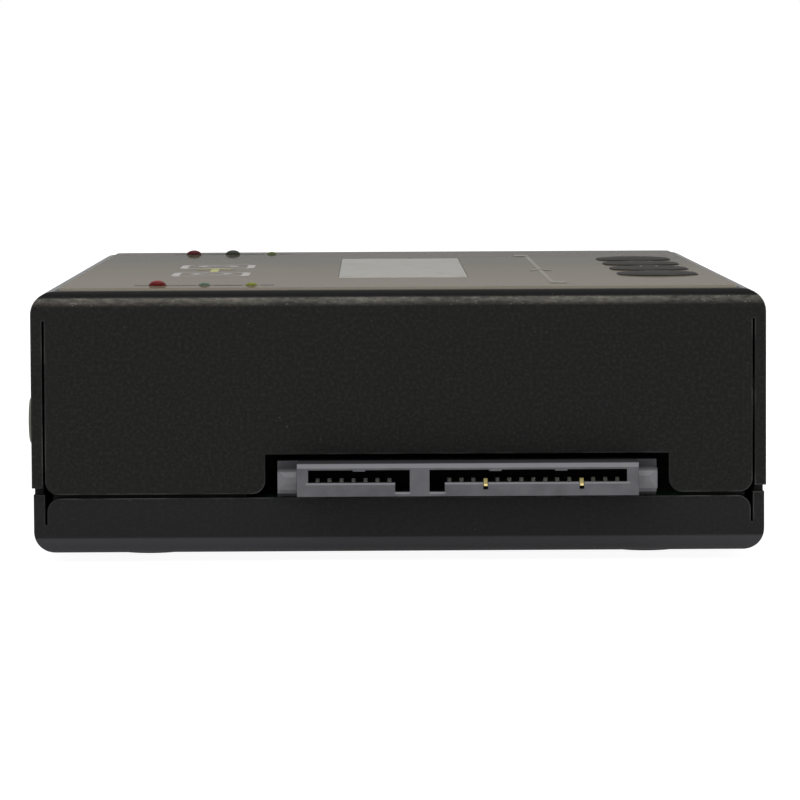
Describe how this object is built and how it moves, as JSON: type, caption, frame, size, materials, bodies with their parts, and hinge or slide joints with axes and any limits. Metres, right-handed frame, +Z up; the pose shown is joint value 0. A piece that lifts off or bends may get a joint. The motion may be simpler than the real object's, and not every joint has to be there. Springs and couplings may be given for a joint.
{
  "type": "drive duplicator",
  "caption": "Small folded-metal drive duplicator with a drive socket in each end wall, a display, oval keys, indicator lamps, a power button and a DC inlet.",
  "frame": {"origin": "on the desk, under the middle of the case", "axes": "+X to the right of someone facing the front socket, +Y from the front socket to the rear one, +Z up"},
  "size_m": [0.0806, 0.128, 0.0297],
  "materials": {
    "bezel_metal": "black stamped steel",
    "black_plastic": "black moulded resin",
    "board": "green solder mask",
    "button_plastic": "grey moulded",
    "can_metal": "bare can",
    "case_coat": "black textured powder coat",
    "ceramic_part": "ceramic chips",
    "chip_resin": "moulded epoxy",
    "display": "pale grey display cell",
    "ferrite": "ferrite",
    "film": "satin printed polyester",
    "gold": "gold plated",
    "key_plastic": "dark grey moulded",
    "lamp_front_1": "red clear epoxy",
    "lamp_front_2": "green clear epoxy",
    "lamp_front_3": "yellow-green clear epoxy",
    "lamp_rear_1": "red clear epoxy",
    "lamp_rear_2": "green clear epoxy",
    "lamp_rear_3": "green clear epoxy",
    "lens": "clear acrylic",
    "light_guide": "milky acrylic",
    "rubber": "moulded rubber",
    "screws": "black zinc",
    "socket_plastic": "grey glass-filled resin",
    "steel_posts": "black zinc plated steel",
    "switch_plastic": "black nylon",
    "tinned": "tin plated"
  },
  "bodies": {
    "case": {"board_spacers": "steel_posts", "bottom_pan": "case_coat", "buzzer": "black_plastic", "capacitor_bases": "black_plastic", "capacitor_cans": "can_metal", "case_screws": "screws", "chip_leads": "tinned", "controller_chip": "chip_resin", "cover_posts": "steel_posts", "crystal": "tinned", "display_bezel": "bezel_metal", "display_board": "board", "display_glass": "display", "display_light_guide": "light_guide", "display_pins": "tinned", "display_screws_and_nuts": "screws", "display_spacers": "steel_posts", "display_window": "lens", "flash_chip": "chip_resin", "front_socket_contacts": "gold", "front_socket_housing": "socket_plastic", "front_socket_long_contacts": "gold", "header_pins": "tinned", "header_socket": "black_plastic", "header_strip": "black_plastic", "inlet_blades": "tinned", "inlet_housing": "black_plastic", "inlet_pin": "tinned", "key_switches": "switch_plastic", "lamp_front_1": "lamp_front_1", "lamp_front_2": "lamp_front_2", "lamp_front_3": "lamp_front_3", "lamp_leads": "tinned", "lamp_rear_1": "lamp_rear_1", "lamp_rear_2": "lamp_rear_2", "lamp_rear_3": "lamp_rear_3", "main_board": "board", "memory_chip": "chip_resin", "panel_board": "board", "panel_film": "film", "panel_posts": "steel_posts", "panel_screws": "screws", "power_coils": "ferrite", "power_switch": "switch_plastic", "rear_socket_contacts": "gold", "rear_socket_housing": "socket_plastic", "rear_socket_long_contacts": "gold", "rubber_feet": "rubber", "small_passives": "ceramic_part", "top_cover": "case_coat"},
    "key_1_body": {"key_1": "key_plastic", "key_plunger_1": "switch_plastic"},
    "key_2_body": {"key_2": "key_plastic", "key_plunger_2": "switch_plastic"},
    "key_3_body": {"key_3": "key_plastic", "key_plunger_3": "switch_plastic"},
    "key_4_body": {"key_4": "key_plastic", "key_plunger_4": "switch_plastic"},
    "button_body": {"power_button": "button_plastic", "power_plunger": "switch_plastic"}
  },
  "joints": [
    {"name": "key_1_press", "type": "slide", "parent": "case", "child": "key_1_body", "axis": [0, 0, -1], "range_m": [0, 0.00035], "stiffness_N_per_m": 4500},
    {"name": "key_2_press", "type": "slide", "parent": "case", "child": "key_2_body", "axis": [0, 0, -1], "range_m": [0, 0.00035], "stiffness_N_per_m": 4500},
    {"name": "key_3_press", "type": "slide", "parent": "case", "child": "key_3_body", "axis": [0, 0, -1], "range_m": [0, 0.00035], "stiffness_N_per_m": 4500},
    {"name": "key_4_press", "type": "slide", "parent": "case", "child": "key_4_body", "axis": [0, 0, -1], "range_m": [0, 0.00035], "stiffness_N_per_m": 4500},
    {"name": "power_press", "type": "slide", "parent": "case", "child": "button_body", "axis": [1, 0, 0], "range_m": [0, 0.0015], "stiffness_N_per_m": 2000}
  ]
}
